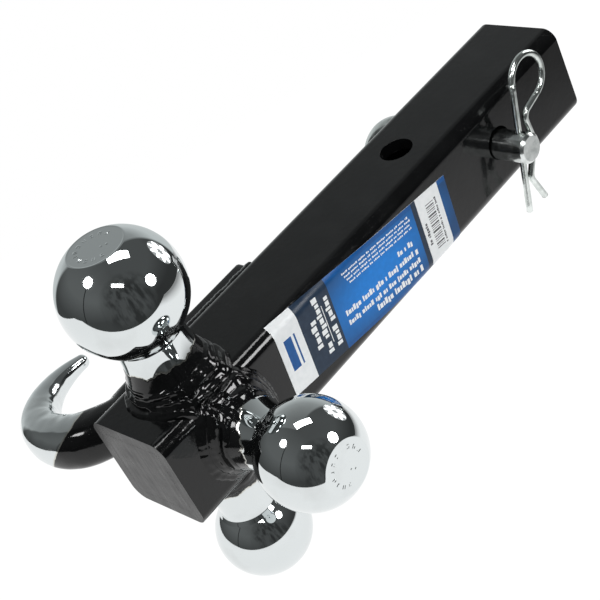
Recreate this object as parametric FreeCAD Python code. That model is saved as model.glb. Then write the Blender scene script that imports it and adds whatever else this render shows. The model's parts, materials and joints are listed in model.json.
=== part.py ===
"""Three-ball hitch mount with tow hook, hitch pin and spring clip.

Units are millimetres.  The origin is where the hitch-pin axis crosses the
shank's centre line.  +Y runs along the shank to its open end, which slides
into a vehicle's receiver.  +Z is up, towards the large ball.  +X is the side
of the medium ball, -X the side of the tow hook, -Z the side of the small ball.
"""

import FreeCAD
import Part
import math
import os

V = FreeCAD.Vector

# ---------------------------------------------------------------- shank
SHANK_SIDE = 50.8            # 2 in square shank
SHANK_WALL = 6.35            # 1/4 in wall
SHANK_CORNER_R = 7.0         # outside corner radius
SHANK_BORE_R = 1.6           # inside corner radius
PIN_TO_BALL = 211.0          # pin hole to the plane of the balls
PIN_TO_END = 63.5            # pin hole to the open end
BALL_TO_FRONT = 35.0         # plane of the balls to the closed end
PIN_HOLE_D = 17.46           # 11/16 in hole for a 5/8 in pin
LOCK_HOLE_Y = -43.0          # the upright hole, ahead of the pin hole

HALF = SHANK_SIDE / 2
BALL_Y = -PIN_TO_BALL
FRONT_Y = BALL_Y - BALL_TO_FRONT
BORE_SIDE = SHANK_SIDE - 2 * SHANK_WALL

# ---------------------------------------------------------------- closed end
PLUG_THICK = 8.0             # square plate let into the front of the shank
PLUG_BEVEL = 3.0             # groove that its weld fills

# ---------------------------------------------------------------- balls
# diameter, height of the centre above the shank's axis, waist and foot radius
# of the neck, diameter of the spigot through the wall, radius of the flat top,
# shift along the shank from the common plane
LARGE_BALL = dict(d=58.74, height=78.8, waist_r=16.6, foot_r=19.5, spigot_d=30.0, flat_r=13.5, shift=0.0)
MEDIUM_BALL = dict(d=50.8, height=70.5, waist_r=15.4, foot_r=17.5, spigot_d=25.4, flat_r=12.8, shift=3.5)
SMALL_BALL = dict(d=47.63, height=75.8, waist_r=14.2, foot_r=16.5, spigot_d=25.4, flat_r=12.0, shift=0.0)
SPIGOT_LENGTH = 9.0          # from the shank's face inwards
NECK_UNDER_BALL = 1.5        # straight part of the neck just under the ball
NECK_FLARE = 0.3             # how much of the foot's extra radius is left half way up
WALL_FACE = HALF             # height of the shank's faces above its axis

# ---------------------------------------------------------------- ball welds
WELD_TOE_R = 25.6            # radius of the bead's outer edge on the shank
WELD_HEIGHT = 11.5           # how far the weld climbs the neck
WELD_PASSES = ("root", "fill", "cap")
WELD_CROWN = 0.9             # how far each pass bulges
WELD_WRAP = 8.0              # reach of the first pass down the rounded corners

# ---------------------------------------------------------------- tow hook
HOOK_BAR_THICK = 12.7        # flat shank of the hook
HOOK_BAR_HEIGHT = 39.0
HOOK_BAR_REAR_Y = BALL_Y + 79.0
HOOK_BAR_BEND_Y = BALL_Y + 8.0      # the flat bar ends here
HOOK_BAR_ROUND = 3.0         # rounding of the flat bar's outer edges
HOOK_NECK = (5.8, 17.0)      # half width and height of the round bar inside the flat one
HOOK_NECK_OVERLAP = 24.0     # how far it reaches into the flat bar
HOOK_CENTRE = (-65.9, BALL_Y - 16.2)   # centre that the hook curls around
HOOK_REACH = (25.8, -28.0, 42.4)    # distance from that centre, root to tip
HOOK_RADIUS = (11.1, 9.8, -17.3)    # radius of the round bar, root to tip
HOOK_TURN = (100.0, -125.0)         # angles from -Y where the curl starts and ends
HOOK_CURL_STEPS = 14         # sections along the curl
HOOK_NECK_STEPS = (0.0, 0.33, 0.66)     # sections between the flat bar and the curl
HOOK_TIP_STEPS = (35, 62, 80)       # sections of the rounded tip, degrees from its base
HOOK_SECTION_POINTS = 16
HOOK_WELD_R = 4.6            # beads along the bar's top and bottom
HOOK_WELD_UP = 0.8           # their centres, beyond the bar's edge
HOOK_WELD_IN = 0.6           # and outside the shank's face
HOOK_REAR_WELD_R = 5.0       # bead across the bar's rear end
HOOK_REAR_WELD_OUT = 0.5     # its centre, behind the bar and outside the shank's face
HOOK_REAR_WELD_SHORT = 8.0   # how much shorter than the bar is high

# ---------------------------------------------------------------- hitch pin
PIN_D = 15.875               # 5/8 in
PIN_CHAMFER = 1.4
PIN_FREE_X = 45.5            # end face on the clip side
PIN_BEND_X = -41.0           # where the bend starts on the hook side
PIN_BEND_R = 24.0
PIN_ARM = 28.0               # straight part of the bent arm
PIN_ARM_ANGLE = -107.0       # direction of the arm about +X, from +Y
PIN_REST_GAP = 0.05          # the loose pin lies this far above the hole's floor
PIN_AXIS_Z = -(PIN_HOLE_D - PIN_D) / 2 + PIN_REST_GAP

# ---------------------------------------------------------------- spring clip
WIRE_D = 3.4
CLIP_X = 38.5                # plane of the clip along the pin
CLIP_HOLE_D = 4.6
CLIP_TILT = 16.0             # lean of the straight leg towards the open end
CLIP_LEG_TIP = -36.0         # lower end of the straight leg, from the pin's axis
LOOP_R = 12.0                # loop at the top, to the wire's centre
LOOP_UP = 32.7               # loop's centre above the pin's axis
PINCH = (15.3, 5.4)          # up the leg, and out from it
HOOKOVER_R = PIN_D / 2 + WIRE_D / 2 + 0.4    # bend over the outside of the pin
LOWER_PINCH = (-18.5, 4.5)
SPRING_TIP = (-32.5, 13.5)
PINCH_BEND_R = 5.0
LOOP_GAP = 0.3               # slit between the two halves of the loop

# ---------------------------------------------------------------- label
FILM = 0.15                  # thickness of each printed film
LABEL_SLOPE = -6.4           # degrees that the label runs downhill
LABEL_START = BALL_Y + 38.6  # along the shank, at the label's middle height
LABEL_LENGTH = 128.1
LABEL_HEIGHT = 40.2
LABEL_MID = 7.4              # middle height where the label starts
BARCODE_START = 104.8        # along the label
BARCODE_LENGTH = 17.2
BARCODE_SHORT = 2.0          # how far the barcode film stops above the label's lower edge
OUTLINE_STEPS = 12           # points along each edge of a film


def square_prism(side, corner_r, y_start, y_end):
    """Square bar with rounded long edges, lying along Y."""
    bar = Part.makeBox(side, y_end - y_start, side, V(-side / 2, y_start, -side / 2))
    long_edges = [e for e in bar.Edges if abs(e.tangentAt(e.FirstParameter).y) > 0.99]
    return bar.makeFillet(corner_r, long_edges)


def cylinder(radius, base, direction, length):
    return Part.makeCylinder(radius, length, base, direction)


def outer_block():
    """The shank's outside, longer than the shank, for trimming what lies on it."""
    return square_prism(SHANK_SIDE, SHANK_CORNER_R, FRONT_Y - 60, PIN_TO_END + 60)


# ---------------------------------------------------------------- balls
def upright(shape, side, shift):
    """Turn a ball or weld made along +Z about the origin onto one side of the shank."""
    turns = {"up": (V(0, 1, 0), 0.0), "right": (V(0, 1, 0), 90.0), "down": (V(1, 0, 0), 180.0)}
    axis, angle = turns[side]
    placed = shape.copy()
    placed.rotate(V(0, 0, 0), axis, angle)
    placed.translate(V(0, BALL_Y + shift, 0))
    return placed


def ball_on_neck(spec):
    """Ball, waisted neck and spigot as one forging, standing on the shank's face."""
    ball_r = spec["d"] / 2
    centre = spec["height"]
    spigot_r = spec["spigot_d"] / 2
    flat_z = centre + math.sqrt(ball_r ** 2 - spec["flat_r"] ** 2)
    join_z = centre - math.sqrt(ball_r ** 2 - spec["waist_r"] ** 2)
    foot_top = WALL_FACE + WELD_HEIGHT
    waist_z = join_z - NECK_UNDER_BALL

    spigot_foot = V(spigot_r, 0, WALL_FACE - SPIGOT_LENGTH)
    spigot_top = V(spigot_r, 0, WALL_FACE)
    foot = V(spec["foot_r"], 0, WALL_FACE)
    shoulder = V(spec["foot_r"], 0, foot_top)
    flare_r = spec["waist_r"] + NECK_FLARE * (spec["foot_r"] - spec["waist_r"])
    flare = V(flare_r, 0, (foot_top + waist_z) / 2)
    waist = V(spec["waist_r"], 0, waist_z)
    join = V(spec["waist_r"], 0, join_z)
    equator = V(ball_r, 0, centre)
    rim = V(spec["flat_r"], 0, flat_z)
    edges = [
        Part.makeLine(V(0, 0, spigot_foot.z), spigot_foot),
        Part.makeLine(spigot_foot, spigot_top),
        Part.makeLine(spigot_top, foot),
        Part.makeLine(foot, shoulder),
        Part.Arc(shoulder, flare, waist).toShape(),
        Part.makeLine(waist, join),
        Part.Arc(join, equator, rim).toShape(),
        Part.makeLine(rim, V(0, 0, flat_z)),
        Part.makeLine(V(0, 0, flat_z), V(0, 0, spigot_foot.z)),
    ]
    return Part.Face(Part.Wire(edges)).revolve(V(0, 0, 0), V(0, 0, 1), 360)


def weld_pass(foot_r, index):
    """One bead of a ring weld: a slice of the fan between the shank's face and the neck."""
    count = len(WELD_PASSES)
    root = V(foot_r, 0, WALL_FACE)

    def on_slope(step):
        part = step / count
        return V(WELD_TOE_R + (foot_r - WELD_TOE_R) * part, 0, WALL_FACE + WELD_HEIGHT * part)

    start = on_slope(index)
    end = on_slope(index + 1)
    along = end.sub(start)
    outward = V(along.z, 0, -along.x)
    outward.normalize()
    crown = start.add(end).multiply(0.5).add(outward.multiply(WELD_CROWN))
    edges = [Part.Arc(start, crown, end).toShape(), Part.makeLine(end, root)]
    if index == 0:
        # the first pass also wraps down over the shank's rounded corners
        below_toe = V(WELD_TOE_R, 0, WALL_FACE - WELD_WRAP)
        below_root = V(foot_r, 0, WALL_FACE - WELD_WRAP)
        edges += [Part.makeLine(root, below_root), Part.makeLine(below_root, below_toe)]
        edges += [Part.makeLine(below_toe, start)]
    else:
        edges += [Part.makeLine(root, start)]
    return Part.Face(Part.Wire(edges)).revolve(V(0, 0, 0), V(0, 0, 1), 360)


def largest_solid(shape):
    return max(shape.Solids, key=lambda solid: solid.Volume)


# ---------------------------------------------------------------- tow hook
def hook_section(centre, across, half_across, half_height):
    """Elliptical section across the hook's round bar."""
    points = []
    for i in range(HOOK_SECTION_POINTS):
        angle = 2 * math.pi * i / HOOK_SECTION_POINTS
        u = half_across * math.cos(angle)
        points.append(centre.add(V(across.x * u, across.y * u, half_height * math.sin(angle))))
    curve = Part.BSplineCurve()
    curve.interpolate(Points=points, PeriodicFlag=True)
    return Part.Wire([curve.toShape()])


def hook_curl(t):
    """Centre and radius of the round bar, from the root at t = 0 to the tip at t = 1."""
    angle = math.radians(HOOK_TURN[0] + (HOOK_TURN[1] - HOOK_TURN[0]) * t)
    reach = HOOK_REACH[0] + HOOK_REACH[1] * t + HOOK_REACH[2] * t * t
    radius = HOOK_RADIUS[0] + HOOK_RADIUS[1] * t + HOOK_RADIUS[2] * t * t
    centre = V(HOOK_CENTRE[0] + reach * math.sin(angle), HOOK_CENTRE[1] - reach * math.cos(angle), 0)
    return centre, radius


def hook_bar_block():
    """The box around the hook's flat bar, for trimming the beads that hold it."""
    length = HOOK_BAR_REAR_Y - HOOK_BAR_BEND_Y
    corner = V(-HALF - HOOK_BAR_THICK, HOOK_BAR_BEND_Y, -HOOK_BAR_HEIGHT / 2)
    return Part.makeBox(HOOK_BAR_THICK, length, HOOK_BAR_HEIGHT, corner)


def tow_hook():
    """Forged hook: a flat bar along the shank that swells into a round, tapering curl."""
    bar_x = -HALF - HOOK_BAR_THICK / 2
    bar = hook_bar_block()
    outer_edges = [e for e in bar.Edges if e.BoundBox.XMax < bar_x]
    bar = bar.makeFillet(HOOK_BAR_ROUND, outer_edges)

    # the round bar grows out of the flat one
    root, root_r = hook_curl(0.0)
    across = V(-1, 0, 0)
    sections = []
    for part in HOOK_NECK_STEPS:
        y = HOOK_BAR_BEND_Y + HOOK_NECK_OVERLAP
        y += (root.y - y) * part
        ease = part * part * (3 - 2 * part)
        x = bar_x + (root.x - bar_x) * ease
        half_across = HOOK_NECK[0] + (root_r - HOOK_NECK[0]) * ease
        half_height = HOOK_NECK[1] + (root_r - HOOK_NECK[1]) * ease
        sections.append(hook_section(V(x, y, 0), across, half_across, half_height))

    nudge = 0.001
    for i in range(HOOK_CURL_STEPS + 1):
        t = i / HOOK_CURL_STEPS
        centre, radius = hook_curl(t)
        ahead = unit(hook_curl(t + nudge)[0].sub(hook_curl(t - nudge)[0]))
        sections.append(hook_section(centre, V(ahead.y, -ahead.x, 0), radius, radius))
    tip, tip_r = centre, radius
    for degrees in HOOK_TIP_STEPS:
        phi = math.radians(degrees)
        ring_r = tip_r * math.cos(phi)
        forward = V(ahead).multiply(tip_r * math.sin(phi))
        sections.append(hook_section(tip.add(forward), V(ahead.y, -ahead.x, 0), ring_r, ring_r))
    curl = Part.makeLoft(sections, True, False)
    return largest_solid(bar.fuse(curl))


def hook_weld(block, side):
    """Fillet bead along the top (+1) or bottom (-1) of the hook's flat bar."""
    z = side * (HOOK_BAR_HEIGHT / 2 + HOOK_WELD_UP)
    start = HOOK_BAR_BEND_Y + HOOK_NECK_OVERLAP
    length = HOOK_BAR_REAR_Y - start
    bead = cylinder(HOOK_WELD_R, V(-HALF - HOOK_WELD_IN, start, z), V(0, 1, 0), length)
    return bead.cut(block).cut(hook_bar_block())


def hook_weld_rear(block):
    """Upright bead across the rear end of the hook's flat bar."""
    length = HOOK_BAR_HEIGHT - HOOK_REAR_WELD_SHORT
    foot = V(-HALF - HOOK_REAR_WELD_OUT, HOOK_BAR_REAR_Y + HOOK_REAR_WELD_OUT, -length / 2)
    bead = cylinder(HOOK_REAR_WELD_R, foot, V(0, 0, 1), length)
    return bead.cut(block).cut(hook_bar_block())


# ---------------------------------------------------------------- bars bent to a path
def straight_bar(start, end, radius):
    run = end.sub(start)
    return Part.makeCylinder(radius, run.Length, start, run)


def bent_bar(start, heading, centre, degrees, radius):
    """Bar of round section turned about centre; heading is its direction at start."""
    axis = heading.cross(centre.sub(start))
    disc = Part.Face(Part.Wire([Part.makeCircle(radius, start, heading)]))
    return disc.revolve(centre, axis, degrees)


def unit(vector):
    result = V(vector)
    result.normalize()
    return result


def bar_through(points, bend_radii, radius):
    """Bar along straight runs between points, with a tangent bend at each inner point."""
    pieces = []
    position = points[0]
    for corner, after, bend_r in zip(points[1:], points[2:], bend_radii):
        heading = unit(corner.sub(position))
        leaving = unit(after.sub(corner))
        turn = heading.getAngle(leaving)
        setback = bend_r * math.tan(turn / 2)
        bend_start = corner.sub(V(heading).multiply(setback))
        bend_end = corner.add(V(leaving).multiply(setback))
        side = unit(V(leaving).sub(V(heading).multiply(leaving.dot(heading))))
        pieces.append(straight_bar(position, bend_start, radius))
        centre = bend_start.add(side.multiply(bend_r))
        pieces.append(bent_bar(bend_start, heading, centre, math.degrees(turn), radius))
        position = bend_end
    pieces.append(straight_bar(position, points[-1], radius))
    return joined(pieces)


def joined(pieces):
    whole = pieces[0].multiFuse(pieces[1:]) if len(pieces) > 1 else pieces[0]
    return largest_solid(whole.removeSplitter())


# ---------------------------------------------------------------- hitch pin
def hitch_pin():
    """Bent pin with a chamfered nose and a cross hole for the clip."""
    radius = PIN_D / 2
    angle = math.radians(PIN_ARM_ANGLE)
    arm = V(0, math.cos(angle), math.sin(angle))
    nose = V(PIN_FREE_X, 0, PIN_AXIS_Z)
    elbow = V(PIN_BEND_X - PIN_BEND_R, 0, PIN_AXIS_Z)
    tail = elbow.add(V(arm).multiply(PIN_BEND_R + PIN_ARM))
    pin = bar_through([nose, elbow, tail], [PIN_BEND_R], radius)
    ends = [e for e in pin.Edges if abs(e.Length - 2 * math.pi * radius) < 0.5 and len(e.Vertexes) == 1]
    nose_edges = [e for e in ends if abs(e.CenterOfMass.x - PIN_FREE_X) < 0.01]
    tail_edges = [e for e in ends if e.CenterOfMass.distanceToPoint(tail) < 0.01]
    pin = pin.makeChamfer(PIN_CHAMFER, nose_edges + tail_edges)
    up = clip_up()
    hole_start = clip_point(-PIN_D, 0)
    return pin.cut(cylinder(CLIP_HOLE_D / 2, hole_start, up, 2 * PIN_D))


# ---------------------------------------------------------------- spring clip
def clip_up():
    """Direction of the clip's straight leg."""
    tilt = math.radians(CLIP_TILT)
    return V(0, math.sin(tilt), math.cos(tilt))


def clip_point(up, out):
    """Point in the clip's plane: up along the straight leg, out towards the spring leg."""
    tilt = math.radians(CLIP_TILT)
    y = up * math.sin(tilt) + out * math.cos(tilt)
    z = up * math.cos(tilt) - out * math.sin(tilt)
    return V(CLIP_X, y, PIN_AXIS_Z + z)


def circle_tangent(centre, radius, point, side):
    """Point where a line from point touches the circle; side picks one of the two."""
    du, dv = point[0] - centre[0], point[1] - centre[1]
    distance = math.hypot(du, dv)
    angle = math.atan2(dv, du) + side * math.acos(radius / distance)
    return centre[0] + radius * math.cos(angle), centre[1] + radius * math.sin(angle)


def lines_cross(a, b, c, d):
    """Where the line a-b meets the line c-d, in the clip's plane."""
    r = (b[0] - a[0], b[1] - a[1])
    s = (d[0] - c[0], d[1] - c[1])
    t = ((c[0] - a[0]) * s[1] - (c[1] - a[1]) * s[0]) / (r[0] * s[1] - r[1] * s[0])
    return a[0] + t * r[0], a[1] + t * r[1]


def clip_straight_leg():
    """Leg through the pin's cross hole, with its half of the loop."""
    wire_r = WIRE_D / 2
    shoulder = clip_point(LOOP_UP, 0)
    leg = straight_bar(clip_point(CLIP_LEG_TIP, 0), shoulder, wire_r)
    slit = math.degrees(LOOP_GAP / LOOP_R) / 2
    bend = bent_bar(shoulder, clip_up(), clip_point(LOOP_UP, LOOP_R), 90 - slit, wire_r)
    return joined([leg, bend])


def clip_spring_leg():
    """The other half of the loop, and the wavy leg that grips the outside of the pin."""
    wire_r = WIRE_D / 2
    loop_centre = (LOOP_UP, LOOP_R)
    leave = circle_tangent(loop_centre, LOOP_R, PINCH, -1)
    slit = LOOP_GAP / LOOP_R / 2
    start = (LOOP_UP + LOOP_R * math.cos(slit), LOOP_R + LOOP_R * math.sin(slit))
    end_angle = math.atan2(leave[1] - LOOP_R, leave[0] - LOOP_UP)
    heading = clip_point(-math.sin(slit), math.cos(slit)).sub(clip_point(0, 0))
    degrees = math.degrees(end_angle - slit)
    half_loop = bent_bar(clip_point(*start), heading, clip_point(*loop_centre), degrees, wire_r)

    grip_above = circle_tangent((0, 0), HOOKOVER_R, PINCH, 1)
    grip_below = circle_tangent((0, 0), HOOKOVER_R, LOWER_PINCH, -1)
    over_pin = lines_cross(PINCH, grip_above, LOWER_PINCH, grip_below)
    route = [clip_point(*p) for p in (leave, PINCH, over_pin, LOWER_PINCH, SPRING_TIP)]
    leg = bar_through(route, [PINCH_BEND_R, HOOKOVER_R, PINCH_BEND_R], wire_r)
    return joined([half_loop, leg])


# ---------------------------------------------------------------- label
def on_label(along, up):
    """Point of the flat label, rolled round the shank's corners, seen on the plane x = 0."""
    slope = math.radians(LABEL_SLOPE)
    y = LABEL_START + along * math.cos(slope) - up * math.sin(slope)
    height = LABEL_MID + along * math.sin(slope) + up * math.cos(slope)
    flat = HALF - SHANK_CORNER_R
    if abs(height) > flat:
        turned = (abs(height) - flat) / SHANK_CORNER_R
        height = math.copysign(flat + SHANK_CORNER_R * math.sin(turned), height)
    return V(0, y, height)


def outline(start, end, low, high):
    """Closed outline of a film, with enough points to follow the rolled corners."""
    corners = [(start, low), (end, low), (end, high), (start, high), (start, low)]
    points = []
    for (a0, u0), (a1, u1) in zip(corners, corners[1:]):
        for i in range(OUTLINE_STEPS):
            part = i / OUTLINE_STEPS
            points.append(on_label(a0 + (a1 - a0) * part, u0 + (u1 - u0) * part))
    return Part.makePolygon(points + points[:1])


def film(start, end, low, high, block, outer):
    """Thin skin on the shank's +X side, reaching outer above its surface."""
    stamp = Part.Face(outline(start, end, low, high)).extrude(V(SHANK_SIDE, 0, 0))
    side = SHANK_SIDE + 2 * outer
    grown = square_prism(side, SHANK_CORNER_R + outer, FRONT_Y, PIN_TO_END)
    return grown.cut(block).common(stamp)


# ---------------------------------------------------------------- assembly
def build():
    parts = {}
    block = outer_block()
    hook = tow_hook()

    balls = {
        "large_ball": ("up", LARGE_BALL),
        "medium_ball": ("right", MEDIUM_BALL),
        "small_ball": ("down", SMALL_BALL),
    }

    tube = square_prism(SHANK_SIDE, SHANK_CORNER_R, FRONT_Y, PIN_TO_END)
    tube = tube.cut(square_prism(BORE_SIDE, SHANK_BORE_R, FRONT_Y - 1, PIN_TO_END + 1))
    tube = tube.cut(cylinder(PIN_HOLE_D / 2, V(-SHANK_SIDE, 0, 0), V(1, 0, 0), 2 * SHANK_SIDE))
    tube = tube.cut(cylinder(PIN_HOLE_D / 2, V(0, LOCK_HOLE_Y, -SHANK_SIDE), V(0, 0, 1), 2 * SHANK_SIDE))
    for side, spec in balls.values():
        seat = Part.makeCylinder(spec["spigot_d"] / 2, SHANK_WALL + 2, V(0, 0, HALF - SHANK_WALL - 1))
        tube = tube.cut(upright(seat, side, spec["shift"]))
    parts["shank_tube"] = tube

    plug = square_prism(BORE_SIDE, SHANK_BORE_R, FRONT_Y, FRONT_Y + PLUG_THICK)
    core_side = BORE_SIDE - 2 * PLUG_BEVEL
    front_core = square_prism(core_side, SHANK_BORE_R, FRONT_Y, FRONT_Y + PLUG_BEVEL)
    back_half = square_prism(BORE_SIDE, SHANK_BORE_R, FRONT_Y + PLUG_BEVEL, FRONT_Y + PLUG_THICK)
    parts["end_plug"] = joined([front_core, back_half])
    parts["end_plug_weld"] = largest_solid(plug.cut(parts["end_plug"]))

    parts["tow_hook"] = hook
    # the space beside the shank's -X face belongs to the hook's bar
    hook_side = Part.makeBox(SHANK_SIDE, 2 * SHANK_SIDE, 2 * SHANK_SIDE)
    hook_side.translate(V(-HALF - SHANK_SIDE, BALL_Y - SHANK_SIDE, -SHANK_SIDE))
    earlier_welds = []
    for name, (side, spec) in balls.items():
        parts[name] = upright(ball_on_neck(spec), side, spec["shift"])
        own_welds = []
        for index, pass_name in enumerate(WELD_PASSES):
            bead = upright(weld_pass(spec["foot_r"], index), side, spec["shift"])
            bead = bead.cut(block)
            for other in [hook_side] + earlier_welds:
                if bead.BoundBox.intersect(other.BoundBox):
                    bead = bead.cut(other)
            parts[name + "_weld_" + pass_name] = largest_solid(bead)
            own_welds.append(parts[name + "_weld_" + pass_name])
        earlier_welds += own_welds

    parts["hook_weld_top"] = largest_solid(hook_weld(block, 1))
    parts["hook_weld_bottom"] = largest_solid(hook_weld(block, -1))
    parts["hook_weld_rear"] = largest_solid(hook_weld_rear(block))

    parts["hitch_pin"] = hitch_pin()
    parts["clip_straight_leg"] = clip_straight_leg()
    parts["clip_spring_leg"] = clip_spring_leg()

    half_h = LABEL_HEIGHT / 2
    label = film(0, LABEL_LENGTH, -half_h, half_h, block, FILM)
    parts["product_label"] = largest_solid(label)
    code_end = BARCODE_START + BARCODE_LENGTH
    code = film(BARCODE_START, code_end, BARCODE_SHORT - half_h, half_h, block, 2 * FILM)
    parts["barcode_label"] = largest_solid(code.cut(label))
    return parts


def main():
    os.makedirs("parts", exist_ok=True)
    for name, shape in build().items():
        solid = shape.Solids[0] if len(shape.Solids) == 1 else shape
        facts = (name, len(shape.Solids), shape.isValid(), shape.Volume)
        print("%-24s solids %d valid %s volume %10.1f" % facts)
        solid.exportStep("parts/" + name + ".step")


main()
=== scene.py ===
"""Three-ball hitch mount: finishes, detailed pieces, floor, lights and camera."""

import itertools
import json
import math

import bmesh
import bpy
from mathutils import Matrix, Quaternion, Vector, noise


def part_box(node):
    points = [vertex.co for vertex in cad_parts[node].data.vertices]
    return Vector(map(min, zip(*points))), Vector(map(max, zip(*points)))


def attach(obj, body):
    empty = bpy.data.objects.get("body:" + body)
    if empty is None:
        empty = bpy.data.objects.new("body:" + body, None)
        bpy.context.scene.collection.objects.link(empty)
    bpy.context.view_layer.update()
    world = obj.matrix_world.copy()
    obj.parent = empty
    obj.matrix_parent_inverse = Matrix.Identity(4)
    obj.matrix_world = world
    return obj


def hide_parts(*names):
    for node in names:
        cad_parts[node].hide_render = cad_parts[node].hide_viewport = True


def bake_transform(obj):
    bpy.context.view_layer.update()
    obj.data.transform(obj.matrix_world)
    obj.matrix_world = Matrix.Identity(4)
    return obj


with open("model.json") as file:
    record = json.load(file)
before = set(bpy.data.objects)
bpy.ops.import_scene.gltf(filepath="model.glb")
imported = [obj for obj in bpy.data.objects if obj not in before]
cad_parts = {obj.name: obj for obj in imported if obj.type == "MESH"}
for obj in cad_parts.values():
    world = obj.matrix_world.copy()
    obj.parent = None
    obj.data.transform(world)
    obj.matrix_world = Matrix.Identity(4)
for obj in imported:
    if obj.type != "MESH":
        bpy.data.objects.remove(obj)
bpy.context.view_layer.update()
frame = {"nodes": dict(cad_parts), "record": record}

MM = 0.001

# ---------------------------------------------------------------- sizes, in millimetres
HALF = (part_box("shank_tube")[1] / MM).x      # half the shank's side
CORNER_R = 7.0
FLAT = HALF - CORNER_R
mounts = {m["name"]: Vector(m["pos_m"]) / MM for m in frame["record"]["mounts"]}
BALL_Y = mounts["large_tow_ball"].y
BARE_DEPTH = 0.4             # how far necks and beads start below the shank's faces
STAMP = 0.16                 # relief of the marks on the balls' flat tops

# side of the shank, mount at its centre, waist, foot and flat radius of each ball, and the
# side on which its weld reaches over the shank's corner (0 for neither)
BALLS = {
    "large_ball": dict(side="up", mount="large_tow_ball", waist=16.6, foot=19.5, flat=13.5, corner=1),
    "medium_ball": dict(side="right", mount="medium_tow_ball", waist=15.4, foot=17.5, flat=12.8, corner=-1),
    "small_ball": dict(side="down", mount="small_tow_ball", waist=14.2, foot=16.5, flat=12.0, corner=0),
}
# plane where each ball's chrome ends under paint: normal, offset, wobble
PAINT_EDGE = {
    "large_ball": (Vector((-0.09, 0.0, -1.0)), -44.5, 2.4),
    "medium_ball": (Vector((-1.0, -0.52, 0.0)), 72.2, 3.0),
    "small_ball": (Vector((0.0, 0.0, 1.0)), -37.0, 2.0),
}
WELD_TOE = 25.2              # radius of a ring weld's outer edge
WELD_HEIGHT = 11.0           # how far it climbs the neck
WELD_PASSES = ("root", "fill", "cap")
RING_STEPS = 720             # sections round a ring weld
WELD_STEPS = 16              # points across one pass
EDGE_ROUND = 0.35 * MM       # rounding that the paint gives the shank's edges
FRONT_FACING = -0.95         # a face whose normal's Y is below this is on the front
NECK_STEPS = 14
BALL_STEPS = 90
BALL_SEGMENTS = 240


# ---------------------------------------------------------------- shader helpers
def new_material(name):
    material = bpy.data.materials.new(name)
    material.use_nodes = True
    tree = material.node_tree
    shader = tree.nodes["Principled BSDF"]
    return material, tree, shader


def put(tree, kind, inputs=None, **settings):
    made = tree.nodes.new(kind)
    for key, value in settings.items():
        setattr(made, key, value)
    for key, value in (inputs or {}).items():
        socket = made.inputs[key]
        if isinstance(value, bpy.types.NodeSocket):
            tree.links.new(value, socket)
        else:
            socket.default_value = value
    return made


def calc(tree, operation, a, b=0.0, clamp=False):
    return put(tree, "ShaderNodeMath", {0: a, 1: b}, operation=operation, use_clamp=clamp).outputs[0]


def ramp(tree, value, low, high, to_low=0.0, to_high=1.0):
    inputs = {0: value, 1: low, 2: high, 3: to_low, 4: to_high}
    return put(tree, "ShaderNodeMapRange", inputs).outputs[0]


def blend(tree, factor, a, b):
    """Mix two colours or two numbers by factor."""
    if isinstance(a, (int, float)):
        return put(tree, "ShaderNodeMix", {0: factor, 2: a, 3: b}).outputs[0]
    if isinstance(a, bpy.types.NodeSocket) and a.type == "VALUE":
        return put(tree, "ShaderNodeMix", {0: factor, 2: a, 3: b}).outputs[0]
    return put(tree, "ShaderNodeMix", {0: factor, 6: a, 7: b}, data_type="RGBA").outputs[2]


def grain(tree, scale, detail=2.0, stretch=None):
    """Noise over the object's own coordinates; scale is in waves per metre."""
    place = put(tree, "ShaderNodeTexCoord").outputs["Object"]
    if stretch:
        place = put(tree, "ShaderNodeMapping", {"Vector": place, "Scale": stretch}).outputs[0]
    return put(tree, "ShaderNodeTexNoise", {"Vector": place, "Scale": scale, "Detail": detail}).outputs[0]


def relief(tree, height, distance, under=None):
    inputs = {"Height": height, "Distance": distance, "Strength": 1.0}
    if under is not None:
        inputs["Normal"] = under
    return put(tree, "ShaderNodeBump", inputs).outputs[0]


def rgb(red, green, blue):
    return (red, green, blue, 1.0)


# ---------------------------------------------------------------- finishes
PAINT = rgb(0.0028, 0.0029, 0.0032)
PAINT_DUSTY = rgb(0.0065, 0.0068, 0.0072)
PAINT_IOR = 1.43
CHROME = rgb(0.71, 0.745, 0.75)
CHROME_DULL = rgb(0.62, 0.645, 0.645)
HEAT_TINT = rgb(0.42, 0.36, 0.24)
VIGNETTE_SHIFT = (0.0, 1.75, 0.0)       # brings the blue zone's middle to the origin
VIGNETTE_SCALE = (0.0, 17.0, 42.0)      # and its half length and height to about 1


def paint_parts(tree, peel, rough_low, rough_high):
    """Colour, roughness and normal of sprayed gloss black."""
    cloud = grain(tree, 45.0, 4.0)
    colour = blend(tree, ramp(tree, cloud, 0.45, 0.75), PAINT, PAINT_DUSTY)
    rough = ramp(tree, grain(tree, 90.0, 3.0), 0.3, 0.7, rough_low, rough_high)
    skin = relief(tree, grain(tree, 420.0, 1.0), peel)
    dust = ramp(tree, grain(tree, 2600.0, 1.0), 0.70, 0.78)
    return colour, rough, relief(tree, dust, 0.00002, skin)


def gloss_paint(name, peel=0.00006, rough_low=0.06, rough_high=0.15, ior=PAINT_IOR, stretch=None):
    material, tree, shader = new_material(name)
    shader.inputs["IOR"].default_value = ior
    colour, rough, normal = paint_parts(tree, peel, rough_low, rough_high)
    if stretch:
        normal = relief(tree, grain(tree, 60.0, 4.0, stretch), 0.00012, normal)
    tree.links.new(colour, shader.inputs["Base Color"])
    tree.links.new(rough, shader.inputs["Roughness"])
    tree.links.new(normal, shader.inputs["Normal"])
    return material


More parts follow.
